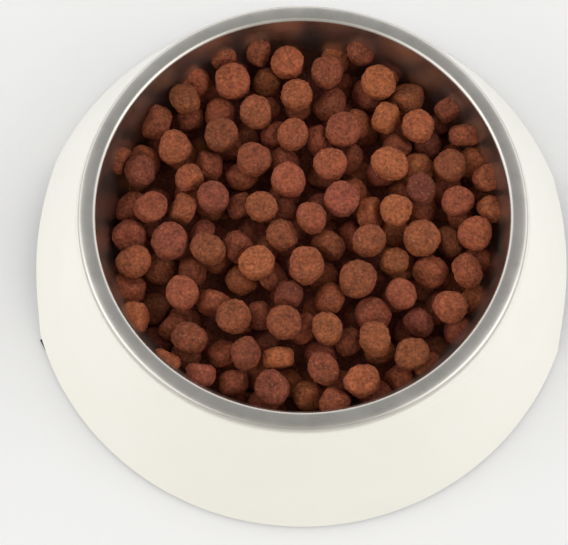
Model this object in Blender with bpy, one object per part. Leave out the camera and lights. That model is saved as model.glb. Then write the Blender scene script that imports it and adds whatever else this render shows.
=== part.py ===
"""A round pet food bowl, filled with dry kibble.

A spun steel bowl hangs by its rolled rim on the land of a flared white base.  The base stands on two
rubber strips under its foot ring, and a shallow arch on its left and right lets fingers in under it.
The kibble lies in the steel bowl: a bed that fills the lower part, and the pieces on top of it.

The origin is on the floor, at the centre of the bowl.  +Z is up and the front is at -Y.
"""

import functools
import math
import random

import bmesh
import bpy
from mathutils import Matrix, Vector

MM = 0.001
CLEARANCE = 0.3 * MM
SEGMENTS = 64
TINY = 0.001 * MM

# Steel bowl: a sheet whose middle surface is turned about +Z.
RIM_TOP = 50.8 * MM
SHEET = 0.6 * MM
CROWN_START_RADIUS = 66.4 * MM
WALL_ANGLE = math.radians(78)
BOWL_FLOOR = 9.0 * MM
BOWL_CORNER_RADIUS = 14.0 * MM
RIM_FILLET_RADIUS = 1.35 * MM
CROWN_RADIUS = 12.0 * MM
CROWN_ANGLE = math.radians(15)
ROLL_RADIUS = 1.15 * MM
ROLL_ANGLE = math.radians(190)
CORNER_STEPS = 5
FILLET_STEPS = 4
CROWN_STEPS = 3
ROLL_STEPS = 8

# Base: a moulded shell.
FOOT_RADIUS = 93.2 * MM
FOOT_WIDTH = 5.0 * MM
FOOT_HEIGHT = 4.2 * MM
SHOULDER_RADIUS = 71.4 * MM
LAND_INNER_RADIUS = 66.9 * MM
BASE_WALL = 2.8 * MM
FLANK_WALL_LEVEL = 1.1 * BASE_WALL  # the slanted flank's wall, measured level
FLANK_SAG = 0.5 * MM
FLANK_STEPS = 7
EDGE_RADIUS = 0.8 * MM
EDGE_STEPS = 3
GROOVE_INNER_RADIUS = 89.6 * MM
GROOVE_WIDTH = 1.8 * MM
GROOVE_DEPTH = 1.7 * MM
ARCH_HALF_WIDTH = 32.5 * MM
ARCH_HEIGHT = 6.8 * MM
ARCH_STEPS = 16
ARCH_CUTTER_REACH = 1.2 * FOOT_RADIUS

# Rubber strips: a flange under the foot ring, with a tongue in its groove.
STRIP_HEIGHT = 1.0 * MM
STRIP_OUTER_RADIUS = 92.9 * MM
STRIP_WIDTH = 4.2 * MM
STRIP_END_ANGLE = math.radians(20.6)
STRIP_STATIONS = 40
LOOSE_END_BULGE = 1.1 * MM
LOOSE_END_ANGLE = math.radians(4.5)

# Kibble
KIBBLE_SEED = 11
KIBBLE_COUNT = 49
KIBBLE_TRIES = 50000
KIBBLE_RADII = (5.3 * MM, 6.2 * MM)
KIBBLE_THICKNESSES = (6.8 * MM, 8.0 * MM)
KIBBLE_SEGMENTS = 10
KIBBLE_END_SHARE = 0.74
KIBBLE_END_DROP = 0.94
KIBBLE_SIDE_SHARE = 0.42
KIBBLE_GAP = 0.4 * MM
KIBBLE_MEETING_REACH = 2.6 * KIBBLE_RADII[1]
KIBBLE_USUAL_LEVEL = RIM_TOP - 8.0 * MM
KIBBLE_WALL_MARGIN = 4.0 * MM
KIBBLE_WALL_BIAS = 0.42
KIBBLE_MOST_TILT = math.radians(85)
KIBBLE_TILT_BIAS = 1.1
BED_GAP = 0.85 * MM
KIBBLE_CEILING = RIM_TOP - 5.2 * MM
BED_EDGE = RIM_TOP - 16.3 * MM
BED_DOME = 1.6 * MM
BED_LUMP = 1.1 * MM
BED_LUMP_PITCH = 15.0 * MM
BED_LUMP_PHASES = (0.7, 1.9)
BED_RINGS = 14
BED_SEGMENTS = 48


def clear_scene():
    for obj in list(bpy.data.objects):
        bpy.data.objects.remove(obj, do_unlink=True)


def material(name, colour, roughness, metallic=0.0):
    made = bpy.data.materials.new(name)
    made.use_nodes = True
    shader = made.node_tree.nodes["Principled BSDF"]
    shader.inputs["Base Color"].default_value = (*colour, 1.0)
    shader.inputs["Roughness"].default_value = roughness
    shader.inputs["Metallic"].default_value = metallic
    made.diffuse_color = (*colour, 1.0)
    return made


def object_from(name, bm, finish, sharp_angle=math.radians(40)):
    """The finished bmesh as an object of the scene, shaded smooth between its sharp edges."""
    bmesh.ops.recalc_face_normals(bm, faces=bm.faces)
    mesh = bpy.data.meshes.new(name)
    bm.to_mesh(mesh)
    bm.free()
    mesh.shade_smooth()
    mesh.set_sharp_from_angle(angle=sharp_angle)
    mesh.materials.append(finish)
    obj = bpy.data.objects.new(name, mesh)
    bpy.context.scene.collection.objects.link(obj)
    return obj


def arc(centre, radius, start, end, steps):
    """Points from one angle to the other about centre, both ends included."""
    points = []
    for step in range(steps + 1):
        angle = start + (end - start) * step / steps
        points.append((centre[0] + radius * math.cos(angle), centre[1] + radius * math.sin(angle)))
    return points


def turn_right(points, heading, radius, angle, steps):
    """Carries a path on round an arc to its right.  A negative angle turns it to the left."""
    side = math.copysign(1.0, angle)
    toward_centre = heading - side * math.pi / 2
    last = points[-1]
    centre = (last[0] + radius * math.cos(toward_centre), last[1] + radius * math.sin(toward_centre))
    first = toward_centre + math.pi
    points.extend(arc(centre, radius, first, first - angle, steps)[1:])
    return heading - angle


def offset_path(points, distance):
    """The path moved sideways, to its left where distance is positive.  Ends keep their own normal."""
    moved = []
    for index, point in enumerate(points):
        before = Vector(points[max(index - 1, 0)])
        after = Vector(points[min(index + 1, len(points) - 1)])
        along = (after - before).normalized()
        moved.append((point[0] - along.y * distance, point[1] + along.x * distance))
    return moved


def place_at(radius, angle, height):
    return (radius * math.cos(angle), radius * math.sin(angle), height)


def circle(radius, height, count):
    """Points evenly round +Z, or the one point of a pole where radius is 0."""
    if radius < TINY:
        return [(0.0, 0.0, height)]
    return [place_at(radius, 2 * math.pi * index / count, height) for index in range(count)]


def lathe(section, segments=SEGMENTS):
    """Turns a section of (radius, height) points about +Z: a closed one, or one from pole to pole."""
    bm = bmesh.new()
    rings = []
    for radius, height in section:
        rings.append([bm.verts.new(point) for point in circle(radius, height, segments)])
    for lower, upper in zip(rings, rings[1:] + rings[:1]):
        join_rings(bm, lower, upper)
    return bm


def join_rings(bm, lower, upper):
    count = max(len(lower), len(upper))
    if count == 1:
        return
    for index in range(count):
        corners = []
        for ring, place in ((lower, index), (lower, index + 1), (upper, index + 1), (upper, index)):
            corner = ring[place % len(ring)]
            if corner not in corners:
                corners.append(corner)
        bm.faces.new(corners)


def steel_middle_path():
    """The middle of the sheet, from the centre of the bowl's floor out to the end of the rolled rim."""
    middle_top = RIM_TOP - SHEET / 2
    turns = BOWL_CORNER_RADIUS + RIM_FILLET_RADIUS
    rise = middle_top - BOWL_FLOOR - turns * (1 - math.cos(WALL_ANGLE))
    wall_length = rise / math.sin(WALL_ANGLE)
    floor_radius = CROWN_START_RADIUS - turns * math.sin(WALL_ANGLE) - wall_length * math.cos(WALL_ANGLE)
    points = [(0.0, BOWL_FLOOR), (floor_radius, BOWL_FLOOR)]
    heading = turn_right(points, 0.0, BOWL_CORNER_RADIUS, -WALL_ANGLE, CORNER_STEPS)
    last = points[-1]
    points.append((last[0] + wall_length * math.cos(heading), last[1] + wall_length * math.sin(heading)))
    heading = turn_right(points, heading, RIM_FILLET_RADIUS, WALL_ANGLE, FILLET_STEPS)
    heading = turn_right(points, heading, CROWN_RADIUS, CROWN_ANGLE, CROWN_STEPS)
    turn_right(points, heading, ROLL_RADIUS, ROLL_ANGLE, ROLL_STEPS)
    return points


def steel_bowl():
    path = steel_middle_path()
    inside = offset_path(path, SHEET / 2)
    outside = offset_path(path, -SHEET / 2)
    finish = material("steel", (0.56, 0.55, 0.53), 0.3, 1.0)
    return object_from("steel_bowl", lathe(inside + outside[::-1]), finish)


@functools.cache
def wall_top():
    """The upper end of the steel wall's straight part, on its inner face."""
    path = offset_path(steel_middle_path(), SHEET / 2)
    return min(path, key=lambda point: abs(point[1] - (RIM_TOP - RIM_FILLET_RADIUS)))


def wall_radius(height):
    """The inner radius of the steel wall at a height on its straight part."""
    radius, top = wall_top()
    return radius - (top - height) / math.tan(WALL_ANGLE)


def roll_bottom():
    """The lowest point of the rolled rim, whose outer face is the same side of the sheet as the inside."""
    face = offset_path(steel_middle_path(), SHEET / 2)
    return min(height for radius, height in face if radius > CROWN_START_RADIUS)


def flank_points(shift, bottom, top):
    """The flank from bottom to top, as a shallow hollow curve, moved inwards by shift."""
    start = Vector((FOOT_RADIUS - shift, bottom))
    end = Vector((SHOULDER_RADIUS - shift, top))
    across = Vector((start.y - end.y, end.x - start.x)).normalized()
    points = []
    for step in range(FLANK_STEPS + 1):
        share = step / FLANK_STEPS
        sag = FLANK_SAG * 4 * share * (1 - share)
        point = start.lerp(end, share) + across * sag
        points.append((point.x, point.y))
    return points


def base_section():
    bottom = STRIP_HEIGHT + CLEARANCE
    land = roll_bottom() - CLEARANCE
    foot_inner = FOOT_RADIUS - FOOT_WIDTH
    foot_edge = (FOOT_RADIUS - EDGE_RADIUS, bottom + EDGE_RADIUS)
    shoulder_edge = (SHOULDER_RADIUS - EDGE_RADIUS, land - EDGE_RADIUS)
    section = arc(foot_edge, EDGE_RADIUS, -math.pi / 2, 0.0, EDGE_STEPS)
    section += flank_points(0.0, bottom + EDGE_RADIUS, land - EDGE_RADIUS)[1:]
    section += arc(shoulder_edge, EDGE_RADIUS, 0.0, math.pi / 2, EDGE_STEPS)[1:]
    section.append((LAND_INNER_RADIUS, land))
    section.append((LAND_INNER_RADIUS, land - BASE_WALL))
    section += flank_points(FLANK_WALL_LEVEL, bottom + FOOT_HEIGHT + EDGE_RADIUS, land - BASE_WALL)[::-1]
    section.append((foot_inner, bottom + FOOT_HEIGHT))
    section.append((foot_inner, bottom))
    section.append((GROOVE_INNER_RADIUS, bottom))
    section.append((GROOVE_INNER_RADIUS, bottom + GROOVE_DEPTH))
    section.append((GROOVE_INNER_RADIUS + GROOVE_WIDTH, bottom + GROOVE_DEPTH))
    section.append((GROOVE_INNER_RADIUS + GROOVE_WIDTH, bottom))
    return section


def arch_cutter():
    """A half-elliptical bar along X, which cuts the finger arch on the left and on the right."""
    bm = bmesh.new()
    outline = [(ARCH_HALF_WIDTH, -ARCH_HEIGHT)]
    for step in range(ARCH_STEPS + 1):
        angle = math.pi * step / ARCH_STEPS
        outline.append((ARCH_HALF_WIDTH * math.cos(angle), ARCH_HEIGHT * math.sin(angle)))
    outline.append((-ARCH_HALF_WIDTH, -ARCH_HEIGHT))
    face = bm.faces.new([bm.verts.new((-ARCH_CUTTER_REACH, y, z)) for y, z in outline])
    made = bmesh.ops.extrude_face_region(bm, geom=[face])
    moved = [item for item in made["geom"] if isinstance(item, bmesh.types.BMVert)]
    bmesh.ops.translate(bm, verts=moved, vec=(2 * ARCH_CUTTER_REACH, 0.0, 0.0))
    cutter = object_from("arch_cutter", bm, material("cutter", (1.0, 0.2, 0.2), 0.5))
    cutter.hide_render = True
    cutter.display_type = "WIRE"
    return cutter


def base_shell():
    finish = material("white_base", (0.92, 0.92, 0.90), 0.25)
    shell = object_from("base_shell", lathe(base_section()), finish)
    cut = shell.modifiers.new("finger_arches", "BOOLEAN")
    cut.operation = "DIFFERENCE"
    cut.solver = "EXACT"
    cut.object = arch_cutter()
    return shell


def strip_section(outer_radius):
    """The strip across its length: flange below, tongue above."""
    inner_radius = STRIP_OUTER_RADIUS - STRIP_WIDTH
    tongue_inner = GROOVE_INNER_RADIUS + CLEARANCE
    tongue_outer = GROOVE_INNER_RADIUS + GROOVE_WIDTH - CLEARANCE
    tongue_top = STRIP_HEIGHT + GROOVE_DEPTH
    return [
        (inner_radius, 0.0),
        (outer_radius, 0.0),
        (outer_radius, STRIP_HEIGHT),
        (tongue_outer, STRIP_HEIGHT),
        (tongue_outer, tongue_top),
        (tongue_inner, tongue_top),
        (tongue_inner, STRIP_HEIGHT),
        (inner_radius, STRIP_HEIGHT),
    ]


def rubber_strip(name, middle_angle, loose_bulge, finish):
    """A strip along the foot ring.  Its first end stands out from under the ring by loose_bulge."""
    half_span = math.pi / 2 - STRIP_END_ANGLE
    bm = bmesh.new()
    rings = []
    for station in range(STRIP_STATIONS + 1):
        along = 2 * half_span * station / STRIP_STATIONS
        loose = max(0.0, 1 - along / LOOSE_END_ANGLE)
        angle = middle_angle - half_span + along
        ring = []
        for radius, height in strip_section(STRIP_OUTER_RADIUS + loose_bulge * loose):
            ring.append(bm.verts.new(place_at(radius, angle, height)))
        rings.append(ring)
    for ring, following in zip(rings, rings[1:]):
        join_rings(bm, ring, following)
    bm.faces.new(rings[0])
    bm.faces.new(rings[-1])
    return object_from(name, bm, finish)


def bed_height(x, y):
    """The top of the kibble bed: a low dome with soft lumps."""
    share = math.hypot(x, y) / wall_radius(BED_EDGE)
    turns = 2 * math.pi / BED_LUMP_PITCH
    lumps = math.sin(turns * x + BED_LUMP_PHASES[0]) * math.sin(turns * y + BED_LUMP_PHASES[1])
    return BED_EDGE + BED_DOME * (1 - share * share) + BED_LUMP * lumps


def kibble_bed(finish):
    """The kibble under the top layer, as one body that fills the steel bowl up to its lumpy top."""
    lining = offset_path(steel_middle_path(), SHEET / 2 + CLEARANCE)
    below = [point for point in lining if point[1] < BED_EDGE - 2 * BED_LUMP]
    edge_radius = wall_radius(BED_EDGE) - 2 * CLEARANCE
    section = below + [(edge_radius, BED_EDGE)]
    for ring in range(BED_RINGS - 1, -1, -1):
        section.append((edge_radius * ring / BED_RINGS, BED_EDGE + BED_DOME))
    bm = lathe(section, BED_SEGMENTS)
    for vert in bm.verts:
        if vert.co.z > BED_EDGE - TINY:
            vert.co.z = bed_height(vert.co.x, vert.co.y)
    return object_from("kibble_bed", bm, finish)


def kibble_outline(radius, thickness):
    """Half of a pellet's section, from its lower pole to its upper pole."""
    half = thickness / 2
    end_radius = KIBBLE_END_SHARE * radius
    side = KIBBLE_SIDE_SHARE * half
    return [
        (0.0, -half),
        (end_radius, -KIBBLE_END_DROP * half),
        (radius, -side),
        (radius, side),
        (end_radius, KIBBLE_END_DROP * half),
        (0.0, half),
    ]


class Kibble:
    """One pellet: its size, its turn and its place."""

    def __init__(self, rng):
        self.radius = rng.uniform(*KIBBLE_RADII)
        self.thickness = rng.uniform(*KIBBLE_THICKNESSES)
        tilt = KIBBLE_MOST_TILT * rng.random() ** KIBBLE_TILT_BIAS
        swing = Matrix.Rotation(rng.uniform(0, 2 * math.pi), 3, "Z")
        spin = Matrix.Rotation(rng.uniform(0, 2 * math.pi), 3, "Z")
        self.turn = swing @ Matrix.Rotation(tilt, 3, "X") @ spin
        self.back = self.turn.transposed()
        reach = wall_radius(KIBBLE_USUAL_LEVEL) - KIBBLE_WALL_MARGIN
        away = reach * rng.random() ** KIBBLE_WALL_BIAS
        bearing = rng.uniform(0, 2 * math.pi)
        self.offsets = [self.turn @ Vector(point) for point in self.points()]
        self.place = Vector(place_at(away, bearing, 0.0))
        self.place.z = self.resting_height()

    def points(self):
        points = []
        for radius, height in kibble_outline(self.radius, self.thickness):
            points.extend(circle(radius, height, KIBBLE_SEGMENTS))
        return points

    def resting_height(self):
        """The lowest height at which the pellet clears the bed."""
        heights = []
        for offset in self.offsets:
            heights.append(bed_height(self.place.x + offset.x, self.place.y + offset.y) - offset.z)
        return max(heights) + BED_GAP

    def fits_bowl(self):
        for offset in self.offsets:
            point = self.place + offset
            if point.z > KIBBLE_CEILING:
                return False
            if math.hypot(point.x, point.y) > wall_radius(point.z) - KIBBLE_GAP:
                return False
        return True

    def holds_point_of(self, other):
        for offset in other.offsets:
            local = self.back @ (other.place + offset - self.place)
            between_ends = abs(local.z) < self.thickness / 2 + KIBBLE_GAP
            if between_ends and local.xy.length < self.radius + KIBBLE_GAP:
                return True
        return False

    def meets(self, other):
        if (self.place - other.place).length > KIBBLE_MEETING_REACH:
            return False
        return self.holds_point_of(other) or other.holds_point_of(self)


def top_kibbles():
    rng = random.Random(KIBBLE_SEED)
    kept = []
    for _ in range(KIBBLE_TRIES):
        if len(kept) == KIBBLE_COUNT:
            break
        kibble = Kibble(rng)
        if kibble.fits_bowl() and not any(kibble.meets(other) for other in kept):
            kept.append(kibble)
    return kept


def kibble_object(name, kibble, finish):
    """A pellet modelled at its own centre, then turned and placed."""
    bm = lathe(kibble_outline(kibble.radius, kibble.thickness), KIBBLE_SEGMENTS)
    obj = object_from(name, bm, finish)
    obj.rotation_euler = kibble.turn.to_euler()
    obj.location = kibble.place
    return obj


def main():
    clear_scene()
    base_shell()
    steel_bowl()
    rubber = material("black_rubber", (0.015, 0.015, 0.016), 0.7)
    rubber_strip("rubber_strip_front", -math.pi / 2, LOOSE_END_BULGE, rubber)
    rubber_strip("rubber_strip_rear", math.pi / 2, 0.0, rubber)
    food = material("kibble", (0.30, 0.11, 0.05), 0.8)
    kibble_bed(food)
    for number, kibble in enumerate(top_kibbles(), start=1):
        kibble_object(f"kibble_{number:02d}", kibble, food)


main()
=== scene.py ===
"""The looks of a round pet food bowl filled with dry kibble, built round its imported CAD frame."""

import math
import random

import bmesh
import bpy
import numpy as np
from mathutils import Matrix, Vector


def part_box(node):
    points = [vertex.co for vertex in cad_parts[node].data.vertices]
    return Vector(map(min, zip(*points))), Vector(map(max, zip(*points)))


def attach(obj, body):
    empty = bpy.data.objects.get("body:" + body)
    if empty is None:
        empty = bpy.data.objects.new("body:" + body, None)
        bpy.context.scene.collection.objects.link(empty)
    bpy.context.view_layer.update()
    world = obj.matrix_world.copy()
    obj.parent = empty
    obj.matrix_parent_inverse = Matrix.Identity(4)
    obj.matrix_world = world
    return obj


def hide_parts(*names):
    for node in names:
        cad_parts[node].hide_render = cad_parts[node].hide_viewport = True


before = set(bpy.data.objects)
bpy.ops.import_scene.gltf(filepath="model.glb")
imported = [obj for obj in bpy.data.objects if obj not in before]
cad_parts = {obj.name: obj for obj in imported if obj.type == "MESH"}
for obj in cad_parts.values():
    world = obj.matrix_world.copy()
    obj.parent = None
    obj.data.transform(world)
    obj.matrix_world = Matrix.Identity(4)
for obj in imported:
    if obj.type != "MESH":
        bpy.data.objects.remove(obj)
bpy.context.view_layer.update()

MM = 0.001
CLEARANCE = 0.3 * MM
TURNED_SEGMENTS = 256
CORE_SEGMENTS = 160
TINY = 0.001 * MM

# Driving places, read from the frame.
STEEL_LOW, STEEL_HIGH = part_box("steel_bowl")
BASE_LOW, BASE_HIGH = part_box("base_shell")
BED_LOW, BED_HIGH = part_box("kibble_bed")
RIM_TOP = STEEL_HIGH.z

# Steel bowl: a sheet whose middle surface is turned about +Z.
SHEET = 0.6 * MM
CROWN_START_RADIUS = 66.4 * MM
WALL_ANGLE = math.radians(78)
BOWL_FLOOR = STEEL_LOW.z + SHEET / 2
BOWL_CORNER_RADIUS = 14.0 * MM
RIM_FILLET_RADIUS = 1.35 * MM
CROWN_RADIUS = 12.0 * MM
CROWN_ANGLE = math.radians(15)
ROLL_RADIUS = 1.15 * MM
ROLL_ANGLE = math.radians(190)
CORNER_STEPS = 14
FILLET_STEPS = 12
CROWN_STEPS = 6
ROLL_STEPS = 20

# Base: a moulded shell.
FOOT_RADIUS = BASE_HIGH.y
FOOT_WIDTH = 5.0 * MM
FOOT_HEIGHT = 4.2 * MM
SHOULDER_RADIUS = 71.4 * MM
LAND_INNER_RADIUS = 66.9 * MM
BASE_WALL = 2.8 * MM
FLANK_WALL_LEVEL = BASE_WALL * 1.1  # the slanted flank's wall, measured level
FLANK_SAG = 0.5 * MM
FLANK_STEPS = 16
EDGE_RADIUS = 0.8 * MM
EDGE_STEPS = 6
GROOVE_INNER_RADIUS = 89.6 * MM
GROOVE_WIDTH = 1.8 * MM
GROOVE_DEPTH = 1.7 * MM
ARCH_HALF_WIDTH = 32.5 * MM
ARCH_HEIGHT = 6.8 * MM
ARCH_STEPS = 64
ARCH_CUTTER_REACH = 1.2 * FOOT_RADIUS

# Camera: above the front edge, close to the bowl.
CAMERA_PLACE = Vector((0.0, -0.1489, 0.4628))
CAMERA_DOWN = math.radians(72.82)
CAMERA_TURN = math.radians(-2.32)
CAMERA_ROLL = math.radians(-0.33)
CAMERA_LENS = 88.7

# Light.  A patch of the air is (direction, cosine at its edge, cosine at its core, level in its core).
AIR_LEVEL = 1.42
AIR_ABOVE = ((0.0, 0.34, 0.94), 0.62, 0.86, 0.31)
AIR_FRONT = ((0.0, -0.88, 0.47), 0.30, 0.94, 0.42)
AIR_COLOUR = (1.0, 1.0, 0.995)
AIR_FRONT_COLOUR = (1.0, 0.97, 0.88)
SIDE_POWER = 2.6
BOX_ELEVATION = math.radians(38)
BOX_DISTANCE = 1.2
BOX_HEIGHT = 0.75

# Kibble
FILL_SEED = 23
FILL_ROUNDS = 340
FILL_TRIES = 20
FILL_STEPS = 20
FILL_STEP = 1.1 * MM
FILL_RISE = 7.8 * MM
FILL_RADII = (4.7 * MM, 6.0 * MM)
PELLET_THICKNESSES = (6.8 * MM, 8.0 * MM)
PELLET_GAP = -0.25 * MM
CORE_DEPTH = 13.0 * MM
CORE_RINGS = 40
SHOWN_FILL = 90
FILL_GROUP = 30
SHOWN_DETAIL = 5
HIDDEN_DETAIL = 4


def add_camera():
    camera = bpy.data.objects.new("view", bpy.data.cameras.new("view"))
    bpy.context.scene.collection.objects.link(camera)
    level = math.cos(CAMERA_DOWN)
    ahead = Vector((math.sin(CAMERA_TURN) * level, math.cos(CAMERA_TURN) * level, -math.sin(CAMERA_DOWN)))
    right = ahead.cross(Vector((0, 0, 1))).normalized()
    up = right.cross(ahead)
    rolled_right = right * math.cos(CAMERA_ROLL) + up * math.sin(CAMERA_ROLL)
    rolled_up = up * math.cos(CAMERA_ROLL) - right * math.sin(CAMERA_ROLL)
    axes = Matrix((rolled_right, rolled_up, -ahead)).transposed()
    camera.matrix_world = Matrix.Translation(CAMERA_PLACE) @ axes.to_4x4()
    camera.data.lens = CAMERA_LENS
    camera.data.sensor_width = 36.0
    camera.data.clip_start = 0.01
    bpy.context.scene.camera = camera


# Nodes for materials

def shader_of(name):
    made = bpy.data.materials.new(name)
    made.use_nodes = True
    return made, made.node_tree, made.node_tree.nodes["Principled BSDF"]


def node(tree, kind, inputs=None, **settings):
    made = tree.nodes.new(kind)
    for key, value in settings.items():
        setattr(made, key, value)
    for key, value in (inputs or {}).items():
        if isinstance(value, bpy.types.NodeSocket):
            tree.links.new(value, made.inputs[key])
        else:
            made.inputs[key].default_value = value
    return made


def noise(tree, vector, feature, detail=4.0, roughness=0.55):
    """Noise whose features are about this long, in metres."""
    inputs = {"Vector": vector, "Scale": 1 / feature, "Detail": detail, "Roughness": roughness}
    return node(tree, "ShaderNodeTexNoise", inputs).outputs["Fac"]


def ramp(tree, value, *stops):
    """A colour ramp through (place, colour) stops."""
    made = node(tree, "ShaderNodeValToRGB", {"Fac": value})
    elements = made.color_ramp.elements
    while len(elements) < len(stops):
        elements.new(0.5)
    for element, (place, colour) in zip(elements, stops):
        element.position = place
        grey = isinstance(colour, float)
        element.color = (colour, colour, colour, 1.0) if grey else (*colour, 1.0)
    return made.outputs["Color"]


def mix(tree, share, first, second, blend="MIX"):
    made = node(tree, "ShaderNodeMix", data_type="RGBA", blend_type=blend)
    for socket, value in ((made.inputs[0], share), (made.inputs[6], first), (made.inputs[7], second)):
        if isinstance(value, bpy.types.NodeSocket):
            tree.links.new(value, socket)
        elif isinstance(value, tuple):
            socket.default_value = (*value, 1.0)
        else:
            socket.default_value = value
    return made.outputs[2]


def maths(tree, operation, *values):
    made = node(tree, "ShaderNodeMath", operation=operation)
    for socket, value in zip(made.inputs, values):
        if isinstance(value, bpy.types.NodeSocket):
            tree.links.new(value, socket)
        else:
            socket.default_value = value
    return made.outputs[0]


def bump(tree, height, depth, strength=1.0, normal=None):
    inputs = {"Height": height, "Distance": depth, "Strength": strength}
    if normal is not None:
        inputs["Normal"] = normal
    return node(tree, "ShaderNodeBump", inputs).outputs["Normal"]


def object_place(tree):
    return node(tree, "ShaderNodeTexCoord").outputs["Object"]


def white_moulding():
    made, tree, shader = shader_of("white_moulding")
    place = object_place(tree)
    cloud = noise(tree, place, 24 * MM)
    peel = noise(tree, place, 1.6 * MM, detail=2.0)
    tint = ramp(tree, cloud, (0.3, (0.872, 0.855, 0.775)), (0.7, (0.890, 0.874, 0.800)))
    tree.links.new(tint, shader.inputs["Base Color"])
    gloss = ramp(tree, noise(tree, place, 9 * MM), (0.35, 0.28), (0.7, 0.31))
    tree.links.new(gloss, shader.inputs["Roughness"])
    tree.links.new(bump(tree, peel, 0.02 * MM, 0.08), shader.inputs["Normal"])
    shader.inputs["Coat Weight"].default_value = 0.25
    shader.inputs["Coat Roughness"].default_value = 0.12
    return made


def brushed_steel():
    """Steel with fine turning lines that run round the bowl."""
    made, tree, shader = shader_of("spun_steel")
    place = object_place(tree)
    split = node(tree, "ShaderNodeSeparateXYZ", {"Vector": place}).outputs
    flat = node(tree, "ShaderNodeCombineXYZ", {"X": split["X"], "Y": split["Y"]}).outputs[0]
    radius = node(tree, "ShaderNodeVectorMath", {0: flat}, operation="LENGTH").outputs["Value"]
    across = node(tree, "ShaderNodeCombineXYZ", {"X": radius, "Y": split["Z"]}).outputs[0]
    lines = noise(tree, across, 0.16 * MM, detail=5.0, roughness=0.7)
    wisps = noise(tree, place, 7 * MM, detail=5.0)
    colour = ramp(tree, wisps, (0.3, (0.555, 0.535, 0.495)), (0.7, (0.605, 0.585, 0.545)))
    tree.links.new(colour, shader.inputs["Base Color"])
    halves = maths(tree, "MULTIPLY", lines, 0.5), maths(tree, "MULTIPLY", wisps, 0.5)
    gloss = ramp(tree, maths(tree, "ADD", *halves), (0.3, 0.24), (0.7, 0.38))
    tree.links.new(gloss, shader.inputs["Roughness"])
    tree.links.new(bump(tree, lines, 0.012 * MM, 0.6), shader.inputs["Normal"])
    shader.inputs["Metallic"].default_value = 1.0
    return made


def black_rubber():
    made, tree, shader = shader_of("black_rubber")
    place = object_place(tree)
    grain = noise(tree, place, 0.5 * MM, detail=3.0)
    dust = noise(tree, place, 6 * MM, detail=4.0)
    colour = ramp(tree, dust, (0.4, (0.012, 0.012, 0.013)), (0.75, (0.035, 0.034, 0.033)))
    tree.links.new(colour, shader.inputs["Base Color"])
    shader.inputs["Roughness"].default_value = 0.72
    tree.links.new(bump(tree, grain, 0.06 * MM, 0.6), shader.inputs["Normal"])
    return made


def kibble_crumb():
    """Baked crumb: each pellet has its own tone, with fine grain, pale specks and dark pits."""
    made, tree, shader = shader_of("kibble_crumb")
    place = object_place(tree)
    tone = node(tree, "ShaderNodeAttribute", attribute_name="tone").outputs["Fac"]
    warmth = node(tree, "ShaderNodeAttribute", attribute_name="warmth").outputs["Fac"]
    grain = noise(tree, place, 1.05 * MM, detail=6.0, roughness=0.70)
    blotch = noise(tree, place, 3.2 * MM, detail=4.0, roughness=0.6)
    cool, middling, warm = (0.226, 0.055, 0.030), (0.272, 0.070, 0.030), (0.312, 0.092, 0.033)
    own = ramp(tree, warmth, (0.0, cool), (0.5, middling), (1.0, warm))
    patch = mix(tree, 0.75, own, ramp(tree, blotch, (0.32, 0.62), (0.52, 1.0), (0.72, 1.22)), "MULTIPLY")
    dusty = mix(tree, 0.9, patch, ramp(tree, grain, (0.32, 0.36), (0.50, 1.0), (0.68, 1.62)), "MULTIPLY")
    toned = mix(tree, 1.0, dusty, ramp(tree, tone, (0.0, 0.70), (1.0, 1.25)), "MULTIPLY")
    speck = ramp(tree, noise(tree, place, 0.9 * MM, detail=1.0), (0.66, 0.0), (0.73, 1.0))
    flecked = mix(tree, maths(tree, "MULTIPLY", speck, 0.55), toned, (0.42, 0.19, 0.09))
    tree.links.new(flecked, shader.inputs["Base Color"])
    pits = node(tree, "ShaderNodeTexVoronoi", {"Vector": place, "Scale": 1 / (1.1 * MM)}).outputs["Distance"]
    hollow = ramp(tree, pits, (0.12, 0.0), (0.42, 1.0))
    coarse = bump(tree, hollow, 0.16 * MM, 0.5)
    fine = bump(tree, grain, 0.28 * MM, 0.75, coarse)
    tree.links.new(fine, shader.inputs["Normal"])
    shader.inputs["Roughness"].default_value = 0.74
    shader.inputs["Specular IOR Level"].default_value = 0.22
    return made


# Turned pieces

def arc(centre, radius, start, end, steps):
    points = []
    for step in range(steps + 1):
        angle = start + (end - start) * step / steps
        points.append((centre[0] + radius * math.cos(angle), centre[1] + radius * math.sin(angle)))
    return points


def turn_right(points, heading, radius, angle, steps):
    """Carries a path on round an arc to its right.  A negative angle turns it to the left."""
    side = math.copysign(1.0, angle)
    toward_centre = heading - side * math.pi / 2
    last = points[-1]
    centre = (last[0] + radius * math.cos(toward_centre), last[1] + radius * math.sin(toward_centre))
    first = toward_centre + math.pi
    points.extend(arc(centre, radius, first, first - angle, steps)[1:])
    return heading - angle


def offset_path(points, distance):
    moved = []
    for index, point in enumerate(points):
        before = Vector(points[max(index - 1, 0)])
        after = Vector(points[min(index + 1, len(points) - 1)])
        along = (after - before).normalized()
        moved.append((point[0] - along.y * distance, point[1] + along.x * distance))
    return moved


def join_rings(bm, lower, upper):
    count = max(len(lower), len(upper))
    if count == 1:
        return
    for index in range(count):
        corners = []
        for ring, place in ((lower, index), (lower, index + 1), (upper, index + 1), (upper, index)):
            corner = ring[place % len(ring)]
            if corner not in corners:
                corners.append(corner)
        bm.faces.new(corners)


def lathe(section, segments=TURNED_SEGMENTS):
    bm = bmesh.new()
    rings = []
    for radius, height in section:
        if radius < TINY:
            rings.append([bm.verts.new((0.0, 0.0, height))])
            continue
        ring = []
        for index in range(segments):
            angle = 2 * math.pi * index / segments
            ring.append(bm.verts.new((radius * math.cos(angle), radius * math.sin(angle), height)))
        rings.append(ring)
    for lower, upper in zip(rings, rings[1:] + rings[:1]):
        join_rings(bm, lower, upper)
    return bm


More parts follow.
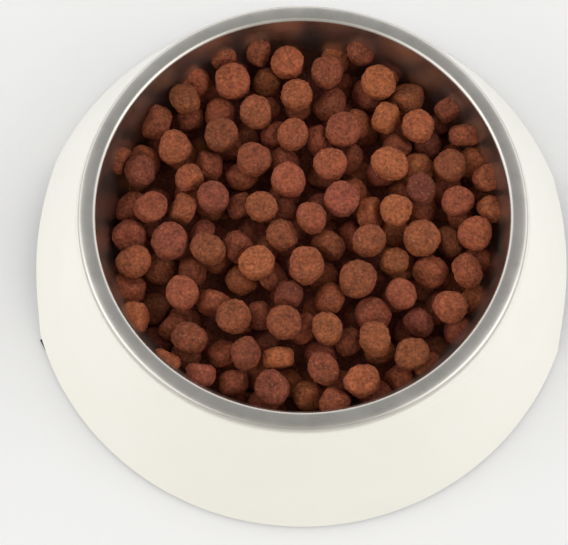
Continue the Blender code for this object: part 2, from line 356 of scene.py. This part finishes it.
def object_from(name, bm, finish, sharp_angle=math.radians(35)):
    bmesh.ops.recalc_face_normals(bm, faces=bm.faces)
    mesh = bpy.data.meshes.new(name)
    bm.to_mesh(mesh)
    bm.free()
    mesh.shade_smooth()
    mesh.set_sharp_from_angle(angle=sharp_angle)
    mesh.materials.append(finish)
    obj = bpy.data.objects.new(name, mesh)
    bpy.context.scene.collection.objects.link(obj)
    return obj


def place_piece(obj, slot, *nodes):
    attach(obj, "root")
    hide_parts(*nodes)


def steel_middle_path():
    middle_top = RIM_TOP - SHEET / 2
    turns = BOWL_CORNER_RADIUS + RIM_FILLET_RADIUS
    rise = middle_top - BOWL_FLOOR - turns * (1 - math.cos(WALL_ANGLE))
    wall_length = rise / math.sin(WALL_ANGLE)
    floor_radius = CROWN_START_RADIUS - turns * math.sin(WALL_ANGLE) - wall_length * math.cos(WALL_ANGLE)
    points = [(0.0, BOWL_FLOOR), (floor_radius, BOWL_FLOOR)]
    heading = turn_right(points, 0.0, BOWL_CORNER_RADIUS, -WALL_ANGLE, CORNER_STEPS)
    last = points[-1]
    points.append((last[0] + wall_length * math.cos(heading), last[1] + wall_length * math.sin(heading)))
    heading = turn_right(points, heading, RIM_FILLET_RADIUS, WALL_ANGLE, FILLET_STEPS)
    heading = turn_right(points, heading, CROWN_RADIUS, CROWN_ANGLE, CROWN_STEPS)
    turn_right(points, heading, ROLL_RADIUS, ROLL_ANGLE, ROLL_STEPS)
    return points


def add_steel_bowl():
    path = steel_middle_path()
    section = offset_path(path, SHEET / 2) + offset_path(path, -SHEET / 2)[::-1]
    bowl = object_from("steel_bowl_fine", lathe(section), brushed_steel(), math.radians(50))
    place_piece(bowl, "steel", "steel_bowl")


def roll_bottom():
    face = offset_path(steel_middle_path(), SHEET / 2)
    return min(height for radius, height in face if radius > CROWN_START_RADIUS)


def wall_radius(height):
    """Meant as the inner radius of the steel wall, but 5.8 mm too wide.

    The nearest point to the fillet's height lies on the rolled rim, outside the wall, so the filling
    pellets and the core, which are placed by this radius, pass through the steel.
    """
    path = offset_path(steel_middle_path(), SHEET / 2)
    wall_top = min(path, key=lambda point: abs(point[1] - (RIM_TOP - RIM_FILLET_RADIUS)))
    return wall_top[0] - (wall_top[1] - height) / math.tan(WALL_ANGLE)


def flank_points(shift, bottom, top):
    start = Vector((FOOT_RADIUS - shift, bottom))
    end = Vector((SHOULDER_RADIUS - shift, top))
    across = Vector((start.y - end.y, end.x - start.x)).normalized()
    points = []
    for step in range(FLANK_STEPS + 1):
        share = step / FLANK_STEPS
        point = start.lerp(end, share) + across * FLANK_SAG * 4 * share * (1 - share)
        points.append((point.x, point.y))
    return points


def base_section():
    bottom = BASE_LOW.z
    land = BASE_HIGH.z
    foot_inner = FOOT_RADIUS - FOOT_WIDTH
    foot_edge = (FOOT_RADIUS - EDGE_RADIUS, bottom + EDGE_RADIUS)
    shoulder_edge = (SHOULDER_RADIUS - EDGE_RADIUS, land - EDGE_RADIUS)
    section = arc(foot_edge, EDGE_RADIUS, -math.pi / 2, 0.0, EDGE_STEPS)
    section += flank_points(0.0, bottom + EDGE_RADIUS, land - EDGE_RADIUS)[1:]
    section += arc(shoulder_edge, EDGE_RADIUS, 0.0, math.pi / 2, EDGE_STEPS)[1:]
    section.append((LAND_INNER_RADIUS, land))
    section.append((LAND_INNER_RADIUS, land - BASE_WALL))
    section += flank_points(FLANK_WALL_LEVEL, bottom + FOOT_HEIGHT + EDGE_RADIUS, land - BASE_WALL)[::-1]
    section.append((foot_inner, bottom + FOOT_HEIGHT))
    section.append((foot_inner, bottom))
    section.append((GROOVE_INNER_RADIUS, bottom))
    section.append((GROOVE_INNER_RADIUS, bottom + GROOVE_DEPTH))
    section.append((GROOVE_INNER_RADIUS + GROOVE_WIDTH, bottom + GROOVE_DEPTH))
    section.append((GROOVE_INNER_RADIUS + GROOVE_WIDTH, bottom))
    return section


def arch_cutter():
    bm = bmesh.new()
    outline = [(ARCH_HALF_WIDTH, -ARCH_HEIGHT)]
    for step in range(ARCH_STEPS + 1):
        angle = math.pi * step / ARCH_STEPS
        outline.append((ARCH_HALF_WIDTH * math.cos(angle), ARCH_HEIGHT * math.sin(angle)))
    outline.append((-ARCH_HALF_WIDTH, -ARCH_HEIGHT))
    face = bm.faces.new([bm.verts.new((-ARCH_CUTTER_REACH, y, z)) for y, z in outline])
    made = bmesh.ops.extrude_face_region(bm, geom=[face])
    moved = [item for item in made["geom"] if isinstance(item, bmesh.types.BMVert)]
    bmesh.ops.translate(bm, verts=moved, vec=(2 * ARCH_CUTTER_REACH, 0.0, 0.0))
    return object_from("arch_cutter", bm, bpy.data.materials.new("cutter"))


def apply_modifiers(obj):
    graph = bpy.context.evaluated_depsgraph_get()
    made = bpy.data.meshes.new_from_object(obj.evaluated_get(graph))
    obj.modifiers.clear()
    obj.data = made


def add_base():
    shell = object_from("base_shell_fine", lathe(base_section()), white_moulding())
    cutter = arch_cutter()
    cut = shell.modifiers.new("finger_arches", "BOOLEAN")
    cut.operation = "DIFFERENCE"
    cut.solver = "EXACT"
    cut.object = cutter
    bpy.context.view_layer.update()
    apply_modifiers(shell)
    bpy.data.objects.remove(cutter, do_unlink=True)
    shell.data.shade_smooth()
    shell.data.set_sharp_from_angle(angle=math.radians(35))
    place_piece(shell, "white_base", "base_shell")


# Kibble

class Pellet:
    """One pellet: its centre, its turn, its radius and its half thickness."""

    def __init__(self, centre, turn, radius, half):
        self.centre = np.asarray(centre, float)
        self.turn = np.asarray(turn, float)
        self.radius = radius
        self.half = half

    def surface(self, directions, power=4.0):
        """Points of the rounded pellet in these directions, about its own centre."""
        flat = np.hypot(directions[:, 0], directions[:, 1]) / self.radius
        tall = np.abs(directions[:, 2]) / self.half
        reach = (flat ** power + tall ** power) ** (-1 / power)
        return directions * reach[:, None]

    def world(self, points):
        return points @ self.turn.T + self.centre

    def holds(self, points, gap):
        """Whether any of these world points is inside the pellet grown by gap."""
        local = (points - self.centre) @ self.turn
        flat = (local[..., 0] ** 2 + local[..., 1] ** 2) / (self.radius + gap) ** 2
        tall = local[..., 2] ** 2 / (self.half + gap) ** 2
        return ((flat * flat + tall * tall) < 1).any(axis=-1)


def sphere_mesh(detail):
    """Directions and faces of an icosphere."""
    bm = bmesh.new()
    bmesh.ops.create_icosphere(bm, subdivisions=detail, radius=1.0)
    points = np.array([vert.co[:] for vert in bm.verts])
    faces = np.array([[vert.index for vert in face.verts] for face in bm.faces])
    bm.free()
    return points / np.linalg.norm(points, axis=1)[:, None], faces


def random_turn(rng, most_tilt):
    tilt = most_tilt * rng.random() ** 0.7
    swing = rng.uniform(0, 2 * math.pi)
    spin = rng.uniform(0, 2 * math.pi)
    swung = Matrix.Rotation(swing, 3, "Z")
    return np.array(swung @ Matrix.Rotation(tilt, 3, "X") @ Matrix.Rotation(spin, 3, "Z"))


def pellet_of_node(name):
    """The pellet that a CAD node holds: its thin axis is the direction in which its points spread least."""
    points = np.unique(np.round([vert.co[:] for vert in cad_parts[name].data.vertices], 7), axis=0)
    axes = np.linalg.eigh(np.cov((points - points.mean(axis=0)).T))[1]
    turn = axes[:, ::-1].copy()
    turn[:, 0] *= np.sign(np.linalg.det(turn))
    local = (points - points.mean(axis=0)) @ turn
    middle = (local.max(axis=0) + local.min(axis=0)) / 2
    centre = points.mean(axis=0) + turn @ middle
    half = (local[:, 2].max() - local[:, 2].min()) / 2
    radius = np.hypot(local[:, 0] - middle[0], local[:, 1] - middle[1]).max()
    return Pellet(centre, turn, radius, half)


def fill_ceiling(x, y):
    """How high the filling pellets may reach: a low dome, about level with the tops of the laid pellets."""
    share = math.hypot(x, y) / wall_at_bed
    return BED_HIGH.z + FILL_RISE - 1.5 * MM * share * share


def clear_height(pellet, placed, probes, heights):
    """The index of the first height inside wall_radius and, but for PELLET_GAP, clear of the neighbours."""
    shape = pellet.world(pellet.surface(probes)) - pellet.centre
    near = []
    for other in placed:
        apart = other.centre[:2] - pellet.centre[:2]
        if math.hypot(*apart) < 2.7 * FILL_RADII[1]:
            near.append(other)
    centres = np.repeat(pellet.centre[None, :], len(heights), axis=0)
    centres[:, 2] = heights
    clouds = centres[:, None, :] + shape[None, :, :]
    radii = np.hypot(clouds[..., 0], clouds[..., 1])
    wall = wall_at_bed + (clouds[..., 2] - BED_HIGH.z) / math.tan(WALL_ANGLE) - 0.4 * MM
    bad = (radii > wall).any(axis=1)
    for other in near:
        bad |= other.holds(clouds, PELLET_GAP)
        flipped = other.cloud[None, :, :] - centres[:, None, :]
        bad |= pellet.holds(flipped + pellet.centre, PELLET_GAP)
    good = np.flatnonzero(~bad)
    return None if len(good) == 0 else good[0]


def pack_fill(placed):
    """Fills the room under and between the placed pellets from the top down."""
    rng = random.Random(FILL_SEED)
    probes, _ = sphere_mesh(3)
    for pellet in placed:
        pellet.cloud = pellet.world(pellet.surface(probes))
    everything = list(placed)
    added = []
    for _ in range(FILL_ROUNDS):
        best = None
        for _ in range(FILL_TRIES):
            radius = rng.uniform(*FILL_RADII)
            half = rng.uniform(*PELLET_THICKNESSES) / 2
            turn = random_turn(rng, math.radians(90))
            away = (wall_at_bed - 3.5 * MM) * math.sqrt(rng.random())
            bearing = rng.uniform(0, 2 * math.pi)
            pellet = Pellet((away * math.cos(bearing), away * math.sin(bearing), 0.0), turn, radius, half)
            rise = (pellet.world(pellet.surface(probes)) - pellet.centre)[:, 2].max()
            top = fill_ceiling(*pellet.centre[:2]) - rise
            heights = top - np.arange(FILL_STEPS) * FILL_STEP
            index = clear_height(pellet, everything, probes, heights)
            if index is None:
                continue
            pellet.centre[2] = heights[index]
            if best is None or index < best[0]:
                best = (index, pellet)
            if best[0] == 0:
                break
        if best is None:
            continue
        pellet = best[1]
        pellet.cloud = pellet.world(pellet.surface(probes))
        added.append(pellet)
        everything.append(pellet)
    return added


def ripple(points, feature, rng, waves=26):
    """A smooth random field over the points, with features of about this length and a spread of about 1."""
    total = np.zeros(len(points))
    for _ in range(waves):
        wave = rng.normal(size=3)
        wave *= 2 * math.pi / (feature * rng.uniform(0.7, 1.5)) / np.linalg.norm(wave)
        total += np.cos(points @ wave + rng.uniform(0, 2 * math.pi))
    return total * math.sqrt(2 / waves)


def rough_pellet(pellet, directions, rng):
    """World points of the pellet with its lumps, crumbs and worn corners."""
    shape = pellet.surface(directions, rng.uniform(2.8, 4.6))
    shape[:, 0] *= 1 - rng.uniform(0, 0.15)
    bend = rng.uniform(-0.05, 0.05)
    shape[:, 2] += bend * shape[:, 0]
    lumps = 0.024 * pellet.radius * ripple(shape, 6.5 * MM, rng, 12)
    crumbs = 0.075 * MM * ripple(shape, 1.9 * MM, rng)
    grain = 0.035 * MM * ripple(shape, 0.95 * MM, rng)
    chips = -0.11 * MM * np.clip(ripple(shape, 2.4 * MM, rng) - 1.2, 0, 2)
    inset = 0.22 * MM
    moved = shape + directions * (lumps + crumbs + grain + chips - inset)[:, None]
    return pellet.world(moved)


def pellet_piece(name, pellets, detail, seed, finish):
    """One object that holds these pellets, each a closed shell with its own tone and warmth."""
    rng = np.random.default_rng(seed)
    directions, faces = sphere_mesh(detail)
    count = len(directions)
    points = []
    tones = []
    warmths = []
    for pellet in pellets:
        points.append(rough_pellet(pellet, directions, rng))
        tones.append(np.full(count, rng.uniform(0, 1)))
        warmths.append(np.full(count, np.clip(rng.normal(0.5, 0.27), 0, 1)))
    all_faces = np.concatenate([faces + count * index for index in range(len(pellets))])
    mesh = bpy.data.meshes.new(name)
    mesh.vertices.add(count * len(pellets))
    mesh.vertices.foreach_set("co", np.concatenate(points).astype(np.float32).ravel())
    mesh.loops.add(all_faces.size)
    mesh.loops.foreach_set("vertex_index", all_faces.astype(np.int32).ravel())
    mesh.polygons.add(len(all_faces))
    mesh.polygons.foreach_set("loop_start", np.arange(0, all_faces.size, 3, dtype=np.int32))
    mesh.update(calc_edges=True)
    for label, values in (("tone", tones), ("warmth", warmths)):
        attribute = mesh.attributes.new(label, "FLOAT", "POINT")
        attribute.data.foreach_set("value", np.concatenate(values).astype(np.float32))
    mesh.shade_smooth()
    mesh.materials.append(finish)
    obj = bpy.data.objects.new(name, mesh)
    bpy.context.scene.collection.objects.link(obj)
    return obj


def add_core(finish):
    """The crumbs and broken kibble at the bottom, under the other pellets."""
    top = BED_HIGH.z - CORE_DEPTH
    lining = offset_path(steel_middle_path(), SHEET / 2 + CLEARANCE)
    section = [point for point in lining if point[1] < top - MM]
    reach = wall_radius(top) - 2 * CLEARANCE
    section += [(reach * ring / CORE_RINGS, top) for ring in range(CORE_RINGS, -1, -1)]
    bm = lathe(section, CORE_SEGMENTS)
    rng = np.random.default_rng(FILL_SEED)
    raised = [vert for vert in bm.verts if vert.co.z > top - TINY]
    places = np.array([vert.co[:] for vert in raised])
    for vert, lump in zip(raised, ripple(places, 9 * MM, rng)):
        vert.co.z += 0.8 * MM * lump
    core = object_from("fill_core", bm, finish, math.pi)
    place_piece(core, "kibble", "kibble_bed")


def add_kibble():
    finish = kibble_crumb()
    names = sorted(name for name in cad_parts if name.startswith("kibble_") and name != "kibble_bed")
    tops = [pellet_of_node(name) for name in names]
    for number, (name, pellet) in enumerate(zip(names, tops)):
        piece = pellet_piece(name.replace("kibble", "pellet"), [pellet], SHOWN_DETAIL, 100 + number, finish)
        place_piece(piece, "kibble", name)
    fill = pack_fill(tops)
    fill.sort(key=lambda pellet: -pellet.centre[2])
    shown = fill[:SHOWN_FILL]
    hidden = fill[SHOWN_FILL:]
    groups = [shown[start:start + FILL_GROUP] for start in range(0, len(shown), FILL_GROUP)]
    for number, group in enumerate(groups, start=1):
        piece = pellet_piece(f"fill_{number}", group, SHOWN_DETAIL, 500 + number, finish)
        place_piece(piece, "kibble", "kibble_bed")
    piece = pellet_piece("fill_below", hidden, HIDDEN_DETAIL, 600, finish)
    place_piece(piece, "kibble", "kibble_bed")
    add_core(finish)


# Floor, lights and air

def add_floor():
    bm = bmesh.new()
    bmesh.ops.create_grid(bm, x_segments=1, y_segments=1, size=3.0)
    made, tree, shader = shader_of("floor")
    place = object_place(tree)
    cloud = noise(tree, place, 0.12)
    tint = ramp(tree, cloud, (0.3, (0.935, 0.935, 0.94)), (0.7, (0.955, 0.955, 0.96)))
    tree.links.new(tint, shader.inputs["Base Color"])
    shader.inputs["Roughness"].default_value = 0.6
    floor = object_from("floor", bm, made)
    floor.location.z = -0.02 * MM


def add_soft_box(name, azimuth, width):
    data = bpy.data.lights.new(name, "AREA")
    data.shape = "RECTANGLE"
    data.size = width
    data.size_y = BOX_HEIGHT
    data.energy = SIDE_POWER
    light = bpy.data.objects.new(name, data)
    level = math.cos(BOX_ELEVATION)
    toward = Vector((math.cos(azimuth) * level, math.sin(azimuth) * level, math.sin(BOX_ELEVATION)))
    light.location = Vector((0, 0, RIM_TOP)) + toward * BOX_DISTANCE
    light.rotation_euler = toward.to_track_quat("Z", "Y").to_euler()
    bpy.context.scene.collection.objects.link(light)


def add_air():
    """Bright all round, but dimmer straight above, behind the bowl, and low in front of it."""
    world = bpy.data.worlds.new("air")
    world.use_nodes = True
    tree = world.node_tree
    toward = node(tree, "ShaderNodeTexCoord").outputs["Generated"]
    shade = []
    for direction, edge, core, least in (AIR_ABOVE, AIR_FRONT):
        facing = node(tree, "ShaderNodeVectorMath", {0: toward, 1: direction}, operation="DOT_PRODUCT")
        limits = {"From Min": edge, "From Max": core, "To Min": 1.0, "To Max": least}
        limits["Value"] = facing.outputs["Value"]
        shade.append(node(tree, "ShaderNodeMapRange", limits, interpolation_type="SMOOTHSTEP").outputs[0])
    both = maths(tree, "MULTIPLY", shade[0], shade[1])
    background = tree.nodes["Background"]
    tint = mix(tree, shade[1], AIR_FRONT_COLOUR, AIR_COLOUR)
    tree.links.new(tint, background.inputs["Color"])
    tree.links.new(maths(tree, "MULTIPLY", both, AIR_LEVEL), background.inputs["Strength"])
    bpy.context.scene.world = world


def add_light():
    add_air()
    add_soft_box("right_box", math.radians(-25), 1.0)
    add_soft_box("left_box", math.radians(205), 1.2)
    bpy.context.scene.view_settings.view_transform = "Standard"


wall_at_bed = wall_radius(BED_HIGH.z)
add_camera()
add_base()
add_steel_bowl()
rubber = black_rubber()
for strip in ("rubber_strip_front", "rubber_strip_rear"):
    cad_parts[strip].data.materials.clear()
    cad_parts[strip].data.materials.append(rubber)
add_kibble()
add_floor()
add_light()
bpy.context.view_layer.update()
